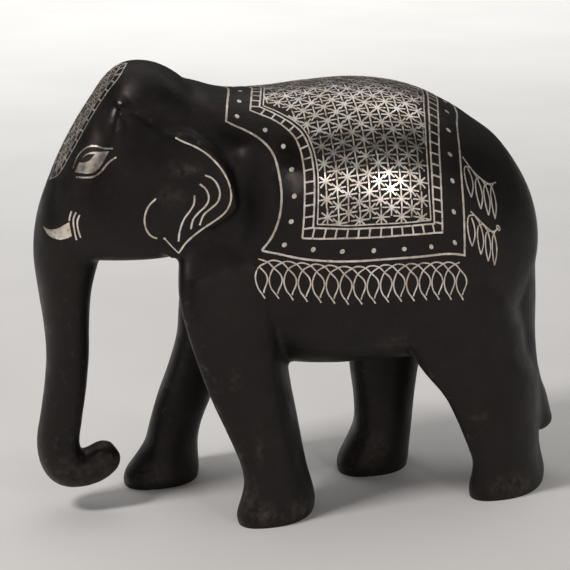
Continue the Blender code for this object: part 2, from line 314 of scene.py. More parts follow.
# Dots between the ladder and the edge, about 1.3 mm across
DOT = 0.64
DOTS = ((-18, 3.4), (-20, 10.3), (-21.9, 16.3), (-15.2, 20.8), (-11.2, 26.1), (-9.8, 32.6), (-9.6, 39.6),
        (-10.6, 46.1), (-12.4, 52), (-5, 54.8), (2.6, 57), (11, 58.2), (19.4, 58.2), (27.1, 56.8),
        (34, 53.6), (33.7, 45.4), (33.8, 37.1), (34, 29.8), (35.2, 22), (37.1, 13.9), (39.2, 6))

# The fringe: its head line, and one leaf's wire from its tail, up, over and down two leaves further on.
# Along is counted in leaves, and down is mm from the head line.
FRINGE_HEAD = ((-22, 52.9), (-19, 54.4), (-11.2, 56.5), (-3.4, 59), (4.6, 61.3), (12.9, 62.2), (21.3, 61.9),
               (27, 60.9), (32.8, 59.3), (38, 57))
FRINGE_START_X = -18.6
FRINGE_PITCH = 3.63
FRINGE_LEAVES = 16
FRINGE_UP = ((0.39, 10.8), (0.17, 9.6), (-0.12, 8.2), (-0.29, 6.2), (-0.25, 4.4), (0, 2.3))
FRINGE_OVER = ((0.5, 0.9), (0.95, 0.2), (1.55, 0.7))
FRINGE_DOWN = ((2, 2.3), (2.44, 3.9), (2.58, 5.4), (2.52, 6.8), (2.34, 8.6), (2.3, 9.4))

# Two tassels behind the cloth, each a short fringe that falls away to the rear: x, distance from the spine
TASSELS = (
    ((37.9, 28.4), (40.6, 30.6), (43.2, 31.4), (45.5, 31.2), (47.9, 29)),
    ((38.9, 42.6), (41.2, 43.3), (43.6, 44), (45.8, 43.9), (47.6, 41.6)),
)
TASSEL_RING = 0.6
TASSEL_RING_STEPS = 8

# Each tassel leaf's middle, its drop and its half width
TASSEL_LEAVES = ((39, 9.2, 1.15), (41.9, 8.9, 0.95), (44.3, 8.8, 0.85), (46.4, 9.3, 0.75))

# A leaf's front and rear wires as shares of its half width and of its drop: they cross near the top and meet
# at the tail. The rear wire comes over from the leaf before, where there is one.
LEAF_FRONT = ((0.9, 0), (-0.67, 0.18), (-1, 0.49), (-0.44, 0.82), (0.3, 1))
LEAF_REAR_START = (0.1, 0.17)
LEAF_REAR_OVER = ((-1.7, 0), (-0.2, 0.1))
LEAF_REAR = ((0.85, 0.38), (1, 0.66), (0.3, 1))
LEAF_SHOULDER = 0.12

# The head's ornaments, as seen from the azimuth and elevation of their chart, in mm right and up
BAND_VIEW = (-90, 37)
BAND_EDGE = ((0, 69.4), (3.6, 67.8), (6, 65), (6.4, 61.7), (6.1, 57), (6.3, 51), (6.4, 46), (6, 41.4),
             (5.2, 37.6), (3.4, 34.9), (0, 32.6))
BAND_INNER = ((0, 67.7), (1.9, 66.5), (3.7, 64.3), (4, 61.4), (3.7, 57), (3.8, 51), (3.9, 46),
               (3.6, 42), (2.9, 38.9), (1.4, 36.7), (0, 35))
BAND_STAR_SIZE = 0.8
BAND_STAR_COLUMNS = (-2, -1, 0, 1, 2)
BAND_STAR_ROWS = 12
BAND_STARS_FROM = 34
EYE_VIEW = (-50, 15)
UPPER_LID = ((-33.7, 79.9), (-33.4, 82.4), (-32.2, 84.5), (-30.2, 86), (-28, 86.5), (-25.8, 86.2),
             (-24, 86.5))
LOWER_LID = ((-32.1, 77.8), (-29.4, 78), (-27.2, 78.6), (-25.6, 80.2), (-24.4, 82.6), (-23, 84.4))
EYE_TOP = ((-32.8, 79), (-31.9, 81.6), (-30.7, 83.7), (-28.8, 84.8), (-27, 85.1), (-24.7, 85.6))
EYE_BOTTOM = ((-32.8, 79), (-30.6, 79), (-28.7, 79.1), (-26.9, 80), (-25.7, 82), (-24.7, 85.6))
PUPIL_TOP = ((-31.9, 81.7), (-31, 83.1), (-29.6, 84.1), (-27.8, 84.4))
PUPIL_BOTTOM = ((-31.9, 81.7), (-30.4, 81.8), (-28.9, 82.6), (-27.8, 84.4))
TUSK_VIEW = (-50, 0)
TUSK_TOP = ((-42.4, 81.7), (-39.6, 81.3), (-37, 81.9), (-35.2, 82.9), (-33.4, 84))
TUSK_BOTTOM = ((-42.4, 81.7), (-39.8, 79.8), (-36.7, 79), (-34.9, 79.3), (-33, 80.2))
TUSK_LINES = (
    ((-32.6, 87), (-33.1, 85.6), (-33.4, 84.3)),
    ((-31.3, 86.8), (-32.1, 84.8), (-32.1, 82.4), (-31.9, 79.2)),
    ((-30.3, 86.2), (-31, 84.4), (-31, 82.2), (-30.6, 80)),
)
EAR_VIEW = (-16, 0)
EAR_RIM = ((-32.6, 106.5), (-30.3, 105.4), (-27.6, 104.3), (-24.8, 102.6), (-22.4, 100.4), (-20.3, 97.7),
           (-18.9, 94.6), (-18.3, 91.2), (-18.8, 88.6), (-20.2, 86.5), (-22.6, 84.5), (-25.4, 82.5),
           (-28.2, 80.3), (-30.4, 78.1), (-32.2, 75.4))
EAR_VEINS = (
    ((-25, 96.7), (-23.3, 96), (-21.9, 94.4), (-21.2, 92), (-21.8, 89.6), (-23.6, 87.8), (-25.5, 86),
     (-26.6, 83.2)),
    ((-26.4, 94.3), (-24.8, 92.9), (-24.1, 90.6), (-24.9, 88.5), (-26.8, 86.6), (-28.3, 84.6),
     (-28.9, 82.1)),
    ((-27.8, 91.2), (-28, 89), (-29, 87.1), (-30.7, 84.7), (-31.8, 81.6), (-32.2, 78.6)),
)
CHEEK_LINE = ((-37.8, 90.6), (-39.8, 88.5), (-40.8, 85.6), (-40.5, 82.6), (-39.3, 80.6), (-37.7, 79.7))
CHEEK_DOT = (-35.8, 79.6)
CHEEK_TAIL = (-34.2, 77.5)

# The girth chart: the height of its axis, its reach along the body, and its turn to each side in degrees.
# Its rays start outside the skin, and a ray that slips between two faces is nudged along.
GIRTH_AXIS_Z = 77.93
GIRTH_FROM_X = -30.03
GIRTH_TO_X = 60
GIRTH_TURN = 130
GIRTH_TURN_STEP = 2
GIRTH_RAY_START = 90
VIEW_RAY_START = 200
RAY_ASIDE = 0.003
RAY_NUDGE = 0.01

# The camera, fitted to the photograph, in mm and degrees
TARGET = Vector((-3.15, 0, 60))
AZIMUTH = -16
ELEVATION = 15
DISTANCE = 600
LENS = 137
SHIFT = (-0.0088, -0.0053)

# Wear starts where the skin bulges from its neighbours by this many mm and is full at so much more
WEAR_FROM = 0.008
WEAR_REACH = 0.03
WEAR_SPREAD_PASSES = 6

# Stretches of y that a list of places reaches
LEFT_SIDE = (-40, -8)
RIGHT_SIDE = (8, 40)
BOTH_SIDES = (-40, 40)
NEAR_SIDE = (-40, 10)

# Hollows of both sides, laid darker as painted shade and made matter: name, middle x and z, half length, half
# height, strength
PAINTED_SHADE_HOLLOWS = (
    ("temple", -44.5, 104.5, 10, 10, 1.0),
    ("behind_the_ear", -19, 89, 5, 15, 0.8),
    ("under_the_ear", -29, 75.5, 10, 5, 0.6),
)

# Places of both sides that handling has polished: name, middle x and z, half length, half height, strength
POLISHED = (
    ("shoulder", -9.6, 99, 5, 12, 1.3),
    ("brow", -53, 113.5, 4, 7, 1.0),
    ("neck", -23, 104, 9, 6, 0.5),
    ("haunch", 49, 62, 5, 26, 0.6),
)

# Dull grey scuffs of the near side, as the photo shows them. On the near fore foot they also paint the
# highlight along its bottom edge
SCUFFS_AND_PAINTED_HIGHLIGHT = (
    ("fore_toe", -19, 4.5, 5, 4, 1.0),
    ("fore_toe_front", -23, 8, 3, 6, 0.7),
    ("fore_foot", -9, 3.5, 7, 4, 0.6),
    ("fore_shin", -19.8, 24, 1.6, 8, 0.8),
    ("fore_knee", -26.2, 42, 2.6, 4, 0.6),
    ("hind_foot", 55, 4, 10, 5, 0.7),
    ("hind_shin", 43.6, 25, 3.6, 1.4, 0.8),
    ("belly", 18.9, 48, 6, 3, 0.7),
    ("trunk_bend", -66, 12, 8, 7, 0.6),
    ("trunk_tip", -56, 13, 5, 4, 0.5),
    ("ear", -38, 98.5, 6, 3, 0.9),
    ("ear_middle", -41, 91, 5, 4, 0.5),
    ("far_hind_foot", 21, 8.5, 8, 6, 0.5),
    ("far_fore_foot", -42, 4, 8, 5, 0.5),
)

# Edges of a piece that turn by more than this stay crisp
CRISP_FROM = math.radians(50)

FLOOR_SIZE = 6.0

# The room's light, and the lamps: name, place, aim, size in metres, watts, tint, spread in degrees
WORLD_STRENGTH = 0.1
LAMPS = (
    ("key", (0.22, -0.7, 0.27), (0, 0, 0.07), (0.09, 0.09), 0.6, "fffaf8", 180),
    ("front", (-0.06, -0.74, 0.3), (0, 0, 0.07), (0.08, 0.24), 0.3, "fffaf8", 180),
    ("right", (0.62, -0.55, 0.14), (0, 0, 0.06), (0.08, 0.36), 0.25, "fffaf8", 180),
    ("side", (-0.56, -0.16, 0.68), (0, 0, 0.06), (0.16, 0.16), 3.4, "fffaf8", 180),
    ("left", (-0.76, -0.4, 0.18), (0, 0, 0.08), (0.25, 0.2), 0.15, "fffaf8", 180),
    ("rear", (0.5, 0.2, 0.9), (0, 0, 0.07), (0.7, 0.7), 0.6, "fffaf8", 180),
    ("overhead", (0.1, 0.2, 1.1), (0, 0.1, 0.05), (1.2, 1.2), 2.4, "fffdfa", 180),
    ("background", (0, 1.1, 0.9), (0, 1.1, 0), (2.4, 0.9), 9, "ffffff", 110),
)

# Sockets of a Mix node that mixes colours
MIX_SHARE, MIX_UNDER, MIX_OVER = 0, 6, 7
MIX_RESULT = 2

# One hand lays all the silver, and its unevenness is the same each time
hand = random.Random(11)


def through(rows, rings_per_span=RINGS_PER_SPAN):
    """The table's rows with more between them, on one smooth curve through them all."""
    rows = np.array(rows, float)
    ends = np.vstack([2 * rows[0] - rows[1], rows, 2 * rows[-1] - rows[-2]])
    made = []
    for a, b, c, d in zip(ends, ends[1:], ends[2:], ends[3:]):
        for step in range(rings_per_span):
            t = step / rings_per_span
            bend = (2 * a - 5 * b + 4 * c - d) * t**2 + (3 * b - a - 3 * c + d) * t**3
            made.append(b + ((c - a) * t + bend) / 2)
    made.append(rows[-1])
    return made


def curve(points):
    """A chart's list of points as one smooth, finely stepped curve."""
    return np.array(through(points, CURVE_STEPS))


def runs_to(places):
    """How far along its line each place lies."""
    steps = np.linalg.norm(np.diff(places, axis=0), axis=1)
    return np.concatenate([[0], np.cumsum(steps)])


def picked(line, runs, wanted):
    """The line's points at the wanted distances along it."""
    return np.array([np.interp(wanted, runs, line[:, k]) for k in (0, 1)]).T


def spread(points, steps):
    """Points at equal distances along a smooth curve through the list."""
    line = curve(points)
    runs = runs_to(line)
    return picked(line, runs, np.linspace(0, runs[-1], steps + 1))


def towards(azimuth, elevation):
    """The direction from the figure to an eye at this azimuth and elevation, in degrees."""
    a, e = math.radians(azimuth), math.radians(elevation)
    return Vector((math.sin(a) * math.cos(e), -math.cos(a) * math.cos(e), math.sin(e)))


def rounded(cosine, squareness):
    return math.copysign(abs(cosine) ** (2 / squareness), cosine)


def ring_edges(
    bm, middle, tilt, half_depth, half_width, squareness, widening=0.0, fore_squareness=None, skew=0.0
):
    """Adds one section, whose depth runs along +X turned up by the tilt and whose width is along Y."""
    ring = bmesh.ops.create_circle(bm, segments=RING_POINTS, radius=1.0)["verts"]
    depth_axis = Vector((math.cos(tilt), 0, math.sin(tilt)))
    for vert in ring:
        power = fore_squareness if fore_squareness and vert.co.x < 0 else squareness
        depth = half_depth * rounded(vert.co.x, power)
        width = half_width * rounded(vert.co.y, power) * (1 + widening * depth / half_depth)
        vert.co = Vector(middle) + depth_axis * depth + Vector((skew * width, width, 0))
    return list({edge for vert in ring for edge in vert.link_edges})


def loft(bm, sections):
    """Skins the sections and closes both ends. It is one closed shell of its own in the mesh."""
    rings = [ring_edges(bm, *section) for section in sections]
    for ring, following in zip(rings, rings[1:]):
        bmesh.ops.bridge_loops(bm, edges=ring + following)
    for end in (rings[0], rings[-1]):
        bmesh.ops.edgeloop_fill(bm, edges=end)


def lengthwise_sections(rows):
    upright = math.pi / 2
    for x, top, bottom, half_width, back, belly in through(rows):
        yield (x, 0, (top + bottom) / 2), upright, (top - bottom) / 2, half_width, back, 0.0, belly


def level_sections(rows, on_midline=False):
    """Sections of a form that stands, each level. Only a limb off the midline has a middle y in its rows."""
    for z, front, rear, *shape in through(rows):
        y = 0.0 if on_midline else shape.pop(0)
        yield (((front + rear) / 2, y, z), 0.0, (rear - front) / 2, *shape)


def trunk_sections(rows):
    rows = through(rows)
    for i, (x, z, half_depth, half_width) in enumerate(rows):
        before, after = rows[max(i - 1, 0)], rows[min(i + 1, len(rows) - 1)]
        tilt = math.atan2(after[1] - before[1], after[0] - before[0]) + math.pi / 2
        yield (x, 0, z), tilt, half_depth, half_width, 2.2


def ear(bm):
    """A thick plate with the ear's outline, hinged at the cheek, whose rim flares away from the neck."""
    outline = [bm.verts.new((x, EAR_HINGE_Y, z)) for x, z in through(EAR_OUTLINE)]
    face = bm.faces.new(outline)
    walls = bmesh.ops.extrude_face_region(bm, geom=[face])["geom"]
    inner = [item for item in walls if isinstance(item, bmesh.types.BMVert)]
    bmesh.ops.translate(bm, verts=inner, vec=(0, EAR_THICKNESS, 0))
    hinge = (EAR_HINGE_X, EAR_HINGE_Y, EAR_TOP_Z)
    for turn in (Matrix.Rotation(EAR_LEAN, 3, "X"), Matrix.Rotation(-EAR_FLARE, 3, "Z")):
        bmesh.ops.rotate(bm, verts=outline + inner, cent=hinge, matrix=turn)
    return outline + inner


def forms():
    """All the figure's forms as closed shells that run into each other, in units."""
    bm = bmesh.new()
    loft(bm, lengthwise_sections(TORSO))
    loft(bm, level_sections(HEAD, on_midline=True))
    loft(bm, trunk_sections(TRUNK))
    for leg, skew in LEGS:
        loft(bm, [(*section, 0.0, None, skew) for section in level_sections(leg)])
    loft(bm, level_sections(TAIL))
    left_ear = ear(bm)
    faces = {face for vert in left_ear for face in vert.link_faces}
    bmesh.ops.mirror(bm, geom=left_ear + list(faces), axis="Y", merge_dist=0)
    bmesh.ops.recalc_face_normals(bm, faces=bm.faces)
    return bm


def evaluated_mesh(obj):
    """The object's mesh with its modifiers applied, and the object gone."""
    graph = bpy.context.evaluated_depsgraph_get()
    mesh = bpy.data.meshes.new_from_object(obj.evaluated_get(graph))
    bpy.data.objects.remove(obj)
    return mesh


def fused(bm):
    """One skin over all the forms, with their meetings softened into fillets."""
    mesh = bpy.data.meshes.new("forms")
    bm.to_mesh(mesh)
    obj = bpy.data.objects.new("forms", mesh)
    bpy.context.scene.collection.objects.link(obj)
    skin = obj.modifiers.new("one skin", "REMESH")
    skin.mode = "VOXEL"
    skin.voxel_size = VOXEL
    soften = obj.modifiers.new("fillets", "SMOOTH")
    soften.factor = SOFTENING_SHARE
    soften.iterations = SOFTENING_PASSES
    return evaluated_mesh(obj)


def swell(places, middle, half_sizes, outwards):
    reach = (((places - middle) / half_sizes) ** 2).sum(axis=1)
    places[:, 1] += outwards * np.clip(1 - reach, 0, None) ** 2


def cut_ledge(places, edge_middle, half_length, run_out, depth, slope):
    """Cuts the side back below a sloping edge, most deeply just below it."""
    x, y, z = (places - (edge_middle[0], 0, edge_middle[1])).T
    along = (x * math.cos(slope) + z * math.sin(slope)) / half_length
    below = x * math.sin(slope) - z * math.cos(slope)
    steep = np.clip(below / LEDGE_SHARPNESS, 0, 1)
    fades = (1 + np.cos(np.clip(below / run_out, 0, 1) * math.pi)) / 2 * np.clip(1 - along**2, 0, 1)
    places[:, 1] -= np.where(y > 0, depth * steep * fades, 0)


def work_surface(mesh):
    """Works the swells and ledges into both sides, each side in turn with outwards as +Y."""
    places = np.empty(len(mesh.vertices) * 3)
    mesh.vertices.foreach_get("co", places)
    places = places.reshape(-1, 3)
    for side in (-1, 1):
        places[:, 1] *= side
        for _, *tool in SWELLS:
            swell(places, *tool)
        for _, *ledge in LEDGES:
            cut_ledge(places, *ledge)
        places[:, 1] *= side
    mesh.vertices.foreach_set("co", places.ravel())


def softened_and_cut(mesh):
    """The skin with its worked edges softened, cut off and closed flat at the sole plane."""
    obj = bpy.data.objects.new("skin", mesh)
    bpy.context.scene.collection.objects.link(obj)
    soften = obj.modifiers.new("soft edges", "SMOOTH")
    soften.factor = SOFTENING_SHARE
    soften.iterations = EDGE_SOFTENING_PASSES
    bm = bmesh.new()
    bm.from_mesh(evaluated_mesh(obj))
    everything = bm.verts[:] + bm.edges[:] + bm.faces[:]
    bmesh.ops.bisect_plane(bm, geom=everything, plane_co=(0, 0, 0), plane_no=(0, 0, 1), clear_inner=True)
    bmesh.ops.edgeloop_fill(bm, edges=[edge for edge in bm.edges if edge.is_boundary])
    bmesh.ops.recalc_face_normals(bm, faces=bm.faces)
    return bm


def on_the_frame(bm):
    """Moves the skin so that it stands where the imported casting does, and turns units into mm."""
    low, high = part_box("elephant_casting")
    bmesh.ops.scale(bm, verts=bm.verts, vec=(UNIT / MM,) * 3)
    xs = [vert.co.x for vert in bm.verts]
    ys = [vert.co.y for vert in bm.verts]
    middle = Vector(((min(xs) + max(xs)) / 2, (min(ys) + max(ys)) / 2, 0))
    wanted = Vector(((low.x + high.x) / 2, (low.y + high.y) / 2, low.z)) / MM
    bmesh.ops.translate(bm, verts=bm.verts, vec=wanted - middle)


def wear_of(bm):
    """How much each point stands out from its neighbours, from 0 to 1: handling rubs the black away there."""
    bm.verts.ensure_lookup_table()
    places = np.array([vert.co for vert in bm.verts])
    normals = np.array([vert.normal for vert in bm.verts])
    ends = np.array([[vert.index for vert in edge.verts] for edge in bm.edges])
    count = np.zeros(len(places))
    np.add.at(count, ends.ravel(), 1)

    def neighbours_mean(values):
        total = np.zeros_like(values)
        np.add.at(total, ends[:, 0], values[ends[:, 1]])
        np.add.at(total, ends[:, 1], values[ends[:, 0]])
        return (total.T / count).T

    bulge = ((places - neighbours_mean(places)) * normals).sum(axis=1)
    for _ in range(WEAR_SPREAD_PASSES):
        bulge = (bulge + neighbours_mean(bulge)) / 2
    return np.clip((bulge - WEAR_FROM) / WEAR_REACH, 0, 1)


def nearness(bm, spots, reach_of_y):
    """How near each point is to a spot's middle in the side view, from 0 to the spot's strength."""
    least_y, most_y = reach_of_y
    x, y, z = np.array([vert.co for vert in bm.verts]).T
    near = np.zeros(len(x))
    for _, middle_x, middle_z, half_length, half_height, strength in spots:
        reach = ((x - middle_x) / half_length) ** 2 + ((z - middle_z) / half_height) ** 2
        near = np.maximum(near, strength * np.clip(1 - reach, 0, 1))
    return np.where((y > least_y) & (y < most_y), near, 0)


def piece(name, bm, material):
    """A finished piece in metres that rides on the root body."""
    bmesh.ops.scale(bm, verts=bm.verts, vec=(MM, MM, MM))
    mesh = bpy.data.meshes.new(name)
    bm.to_mesh(mesh)
    bm.free()
    mesh.shade_smooth()
    mesh.set_sharp_from_angle(angle=CRISP_FROM)
    mesh.materials.append(material)
    obj = bpy.data.objects.new(name, mesh)
    bpy.context.scene.collection.objects.link(obj)
    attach(obj, "root")
    return obj


class Girth:
    """Places on the skin by x and by the distance from the spine, round the body. Left is more than 0."""

    def __init__(self, tree):
        self.tree = tree
        self.xs = np.arange(GIRTH_FROM_X, GIRTH_TO_X + 1)
        self.turns = np.radians(np.arange(-GIRTH_TURN, GIRTH_TURN + 1, GIRTH_TURN_STEP))
        self.rows = np.array([self.distances(x) for x in self.xs])

    def cast(self, x, turn):
        outwards = Vector((0, -math.sin(turn), math.cos(turn)))
        start = Vector((x, 0, GIRTH_AXIS_Z)) + outwards * GIRTH_RAY_START
        place, normal, *_ = self.tree.ray_cast(start, -outwards)
        if place is None:
            return self.cast(x + RAY_NUDGE, turn)
        return place, normal

    def distances(self, x):
        runs = runs_to([self.cast(x, turn)[0] for turn in self.turns])
        return runs - runs[len(runs) // 2]

    def __call__(self, x, distance, side=1):
        at = np.clip(x - GIRTH_FROM_X, 0, len(self.xs) - 1.001)
        share = at - int(at)
        row = self.rows[int(at)] * (1 - share) + self.rows[int(at) + 1] * share
        return self.cast(x, np.interp(distance * side, row, self.turns))


class View:
    """Places on the skin by where they are seen from afar, in mm right and up. Side -1 is the mirror."""

    def __init__(self, tree, azimuth, elevation):
        turn = math.radians(azimuth)
        self.tree = tree
        self.back = towards(azimuth, elevation)
        self.right = Vector((math.cos(turn), math.sin(turn), 0))
        self.up = self.back.cross(self.right)

    def __call__(self, right, up, side=1):
        start = self.right * (right + RAY_ASIDE) + self.up * up + self.back * VIEW_RAY_START
        mirror = Vector((1, side, 1))
        place, normal, *_ = self.tree.ray_cast(start * mirror, -self.back * mirror)
        if place is None:
            return self(right, up + RAY_NUDGE, side)
        return place, normal


class Inlay:
    """Silver laid into the skin in one mesh: wires, and sheets cut to shape."""

    def __init__(self):
        self.bm = bmesh.new()
        self.laid = 0

    def height(self):
        """The next height, so that what crosses doesn't share its surface."""
        self.laid += 1
        return PROUD + CROSSING_RISE * (self.laid % CROSSING_HEIGHTS)

    def wire(self, chart, points, width=WIRE, side=1, extend=0.0):
        """A beaten wire along a smooth curve through the points, with its ends drawn out by the extension."""
        line = curve(points)
        runs = runs_to([chart(u, v, side)[0] for u, v in line])
        steps = max(2, int(runs[-1] / WIRE_STEP))
        wanted = np.linspace(0, runs[-1], steps + 1)
        spots = [chart(u, v, side) for u, v in picked(line, runs, wanted)]
        height = self.height()
        beat = hand.uniform(*BEAT_STARTS)
        strip = bmesh.ops.create_grid(self.bm, x_segments=1, y_segments=steps, size=0.5)["verts"]
        for i, (place, normal) in enumerate(spots):
            before, after = spots[max(i - 1, 0)][0], spots[min(i + 1, steps)][0]
            across = (after - before).cross(normal).normalized()
            end = (i == steps) - (i == 0)
            along = (after - before).normalized() * extend * end
            half = width / 2 * (1 + BEAT_SHARE * math.sin(beat + wanted[i] * BEAT_TURN))
            for j, lean in enumerate((-half, half)):
                strip[2 * i + j].co = place + along + across * lean + normal * height

    def sheet(self, chart, one_edge, other_edge, side=1, height=None):
        """A sheet of silver between two edges that run the same way."""
        height = self.height() if height is None else height
        along, over = SHEET_STEPS
        edges = [spread(edge, along) for edge in (one_edge, other_edge)]
        strip = bmesh.ops.create_grid(self.bm, x_segments=over, y_segments=along, size=0.5)["verts"]
        for i in range(along + 1):
            for j in range(over + 1):
                u, v = edges[0][i] * (1 - j / over) + edges[1][i] * (j / over)
                place, normal = chart(u, v, side)
                strip[(over + 1) * i + j].co = place + normal * height

    def disc(self, segments, radius):
        return bmesh.ops.create_circle(
            self.bm, cap_ends=True, cap_tris=True, segments=segments, radius=radius
        )["verts"]

    def dot(self, chart, u, v, radius=DOT, side=1):
        disc = self.disc(12, radius)
        height = self.height()
        stretch = hand.uniform(*DOT_STRETCH)
        for vert in disc:
            place, normal = chart(u + vert.co.x * stretch, v + vert.co.y / stretch, side)
            vert.co = place + normal * height

    def star(self, chart, u, v, inside, size=1.0):
        """A flower of eight blunt arms. Each arm has two corners at its tip, and a valley follows it."""
        corners = 3 * STAR_ARM_COUNT
        disc = self.disc(corners, 1.0)
        height = self.height()
        turn = hand.uniform(*STAR_TURN)
        reaches = []
        for arm in range(STAR_ARM_COUNT):
            reach = STAR_ARMS[arm % len(STAR_ARMS)] * size * hand.uniform(*STAR_ARM_SHARE)
            angle = arm * math.tau / STAR_ARM_COUNT + turn
            across, down = math.cos(angle), math.sin(angle)
            while reach > STAR_LEAST_ARM and not inside(u + reach * across, v + reach * down):
                reach -= STAR_TRIM
            reaches.append(reach)
        for vert in disc:
            step = round(math.atan2(vert.co.y, vert.co.x) * corners / math.tau) % corners
            arm, corner = divmod(step, 3)
            angle = arm * math.tau / STAR_ARM_COUNT + turn
            if vert.co.length < 0.5:
                at = Vector((0, 0))
            elif corner == 2:
                angle += math.pi / STAR_ARM_COUNT
                at = Vector((math.cos(angle), math.sin(angle))) * STAR_VALLEY * size
            else:
                at = Vector((reaches[arm], (corner - 0.5) * STAR_TIP_WIDTH * size))
                at = Matrix.Rotation(angle, 2) @ at
            place, normal = chart(u + at.x, v + at.y)
            vert.co = place + normal * height

    def cut_in(self, tree):
        """Turns every face outwards and gives the silver its thickness, down into its grooves."""
        self.bm.normal_update()
        skin = {face: tree.find_nearest(face.calc_center_median())[1] for face in self.bm.faces}
        wrong = [face for face, outwards in skin.items() if face.normal.dot(outwards) < 0]
        bmesh.ops.reverse_faces(self.bm, faces=wrong)
        bmesh.ops.solidify(self.bm, geom=self.bm.faces[:], thickness=INLAY_DEPTH)
        return self.bm


def over_spine(line):
    """A line that starts on the spine, carried over it to the other side."""
    return [(x, -distance) for x, distance in reversed(line[1:])] + list(line)


def ladder(silver, chart, outer, inner, corner_gaps, side=1):
    """Rungs from one line to the other, which leave small dark squares between them."""
    outer, inner = spread(outer, LADDER_STEPS), spread(inner, LADDER_STEPS)
    run = runs_to(outer)[-1]
    first, last = corner_gaps
    count = round((run - first - last) / RUNG_PITCH)
    for at in np.linspace(first, run - last, count + 1):
        a = outer[round(at / run * LADDER_STEPS)]
        b = inner[np.linalg.norm(inner - a, axis=1).argmin()]
        silver.wire(chart, (a, (a + b) / 2, b), WIRE, side)


def outline_of(lines, mirror):
    """The closed outline that some lines and their mirror image make on a chart."""
    half = np.vstack([curve(line) for line in lines])
    return np.vstack([half, half[::-1] * mirror])


def inside_of(outline):
    following = np.roll(outline, -1, axis=0)

    def inside(u, v):
        crosses = (outline[:, 1] > v) != (following[:, 1] > v)
        rise = np.where(crosses, following[:, 1] - outline[:, 1], 1)
        meets = outline[:, 0] + (v - outline[:, 1]) / rise * (following[:, 0] - outline[:, 0])
        return bool((crosses & (u < meets)).sum() % 2)
    return inside


def cloth_borders(girth):
    silver = Inlay()
    silver.wire(girth, over_spine(CLOTH_NECK), BORDER_WIRE, extend=0.3)
    silver.wire(girth, over_spine(CLOTH_REAR), BORDER_WIRE, extend=0.3)
    for lines in (LADDER_OUTER, LADDER_INNER):
        silver.wire(girth, over_spine(lines[0]), WIRE, extend=0.2)
        silver.wire(girth, over_spine(lines[-1]), WIRE, extend=0.2)
    silver.wire(girth, over_spine(FINE_LINE[0]), FINE_WIRE)
    silver.wire(girth, over_spine(FINE_LINE[-1]), FINE_WIRE)
    for side in (1, -1):
        silver.wire(girth, CLOTH_FRONT, BORDER_WIRE, side)
        silver.wire(girth, CLOTH_HEM, BORDER_WIRE, side)
        for outer, inner, fine in list(zip(LADDER_OUTER, LADDER_INNER, FINE_LINE))[1:3]:
            silver.wire(girth, outer, WIRE, side)
            silver.wire(girth, inner, WIRE, side)
            silver.wire(girth, fine, FINE_WIRE, side)
        for outer, inner, corner_gaps in zip(LADDER_OUTER, LADDER_INNER, LADDER_CORNERS):
            ladder(silver, girth, outer, inner, corner_gaps, side)
        for x, distance in DOTS:
            silver.dot(girth, x, distance, side=side)
    return silver


def star_field(girth):
    silver = Inlay()
    neck, front, hem, rear = FINE_LINE
    inside = inside_of(outline_of((neck, front, hem, rear[::-1]), (1, -1)))
    column = 0
    x = STAR_FIRST_COLUMN_X
    while x < rear[0][0]:
        offset = STAR_PITCH / 2 * (column % 2)
        for distance in np.arange(-STAR_ROWS_A_SIDE, STAR_ROWS_A_SIDE) * STAR_PITCH + offset:
            if inside(x, distance):
                at_x = x + hand.uniform(*STAR_DRIFT)
                silver.star(girth, at_x, distance + hand.uniform(*STAR_DRIFT), inside)
        column += 1
        x += STAR_COLUMN_PITCH
    return silver


def fringe(girth):
    """Overlapping leaves below the hem. Each leaf is the near end of one wire and the far end of another."""
    silver = Inlay()
    head = curve(FRINGE_HEAD)

    def laid(leaf, steps):
        xs = [FRINGE_START_X + (leaf + along) * FRINGE_PITCH for along, _ in steps]
        return [(x, np.interp(x, head[:, 0], head[:, 1]) + down) for x, (_, down) in zip(xs, steps)]

    for side in (1, -1):
        for leaf in range(FRINGE_LEAVES - 2):
            silver.wire(girth, laid(leaf, FRINGE_UP + FRINGE_OVER + FRINGE_DOWN), FRINGE_WIRE, side)
        silver.wire(girth, laid(-2, FRINGE_DOWN), FRINGE_WIRE, side)
        silver.wire(girth, laid(-1, FRINGE_OVER[1:] + FRINGE_DOWN), FRINGE_WIRE, side)
        silver.wire(girth, laid(FRINGE_LEAVES - 2, FRINGE_UP + FRINGE_OVER[:2]), FRINGE_WIRE, side)
        silver.wire(girth, laid(FRINGE_LEAVES - 1, FRINGE_UP), FRINGE_WIRE, side)
    return silver


def tassels(girth):
    silver = Inlay()
    for side in (1, -1):
        for head in TASSELS:
            silver.wire(girth, head, FRINGE_WIRE, side)
            tops = curve(head)
            for place, (middle, drop, half_width) in enumerate(TASSEL_LEAVES):
                rear = (LEAF_REAR_OVER if place else (LEAF_REAR_START,)) + LEAF_REAR
                for wire in (LEAF_FRONT, rear):
                    leaf = []
                    for across, down in wire:
                        x = middle + half_width * across
                        hangs_from = middle if down > LEAF_SHOULDER else x
                        leaf.append((x, np.interp(hangs_from, tops[:, 0], tops[:, 1]) + drop * down))
                    silver.wire(girth, leaf, FRINGE_WIRE, side)
        end = np.array(TASSELS[-1][-1])
        turns = np.linspace(0, math.tau, TASSEL_RING_STEPS + 1)
        ring = [end + TASSEL_RING * np.array((math.cos(turn), math.sin(turn))) for turn in turns]
        silver.wire(girth, ring, FINE_WIRE, side)
    return silver


